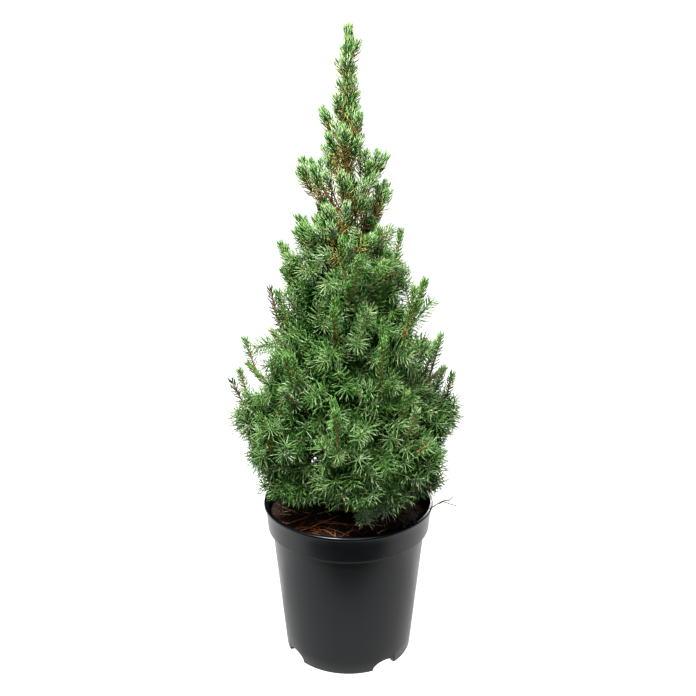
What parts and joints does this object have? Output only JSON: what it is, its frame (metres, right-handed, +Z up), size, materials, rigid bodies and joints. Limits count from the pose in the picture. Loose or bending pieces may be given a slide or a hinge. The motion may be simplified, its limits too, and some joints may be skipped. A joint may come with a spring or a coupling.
{
  "type": "potted white spruce",
  "caption": "Dwarf conical white spruce in a round black nursery pot: needle-covered boughs rise in tiers round one straight trunk to a slim pointed top.",
  "frame": {"origin": "centre of the pot's underside, at the level that it stands on", "axes": "+Z up along the trunk, -Y towards the viewer of the picture, +X to the viewer's right"},
  "size_m": [0.2514, 0.248, 0.6823],
  "materials": {
    "pot_plastic": "satin moulded black plastic, faintly scuffed",
    "peat": "damp crumbly peat with fine roots and pale chips",
    "bark": "rough scaly orange-brown bark",
    "needles": "fine mid-green needles with a soft bluish bloom"
  },
  "bodies": {
    "root": {"pot": "pot_plastic", "soil": "peat", "trunk": "bark", "foliage_1_1": "needles", "foliage_1_2": "needles", "foliage_1_3": "needles", "foliage_1_4": "needles", "foliage_1_5": "needles", "foliage_1_6": "needles", "foliage_1_7": "needles", "bough_2_1": "bark", "foliage_2_1": "needles", "bough_2_2": "bark", "foliage_2_2": "needles", "bough_2_3": "bark", "foliage_2_3": "needles", "bough_2_4": "bark", "foliage_2_4": "needles", "bough_2_5": "bark", "foliage_2_5": "needles", "bough_2_6": "bark", "foliage_2_6": "needles", "bough_2_7": "bark", "foliage_2_7": "needles", "bough_2_8": "bark", "foliage_2_8": "needles", "bough_3_1": "bark", "foliage_3_1": "needles", "bough_3_2": "bark", "foliage_3_2": "needles", "bough_3_3": "bark", "foliage_3_3": "needles", "bough_3_4": "bark", "foliage_3_4": "needles", "bough_3_5": "bark", "foliage_3_5": "needles", "bough_3_6": "bark", "foliage_3_6": "needles", "foliage_4_1": "needles", "foliage_4_2": "needles", "foliage_4_3": "needles", "foliage_4_4": "needles", "foliage_4_5": "needles", "foliage_4_6": "needles", "foliage_5_1": "needles", "foliage_5_2": "needles", "foliage_5_3": "needles", "foliage_5_4": "needles", "foliage_6_1": "needles", "foliage_6_2": "needles", "foliage_6_3": "needles", "foliage_6_4": "needles", "foliage_7_1": "needles", "foliage_7_2": "needles", "foliage_7_3": "needles", "foliage_7_4": "needles", "foliage_8_1": "needles", "foliage_8_2": "needles", "foliage_8_3": "needles", "leader": "needles"}
  },
  "joints": []
}
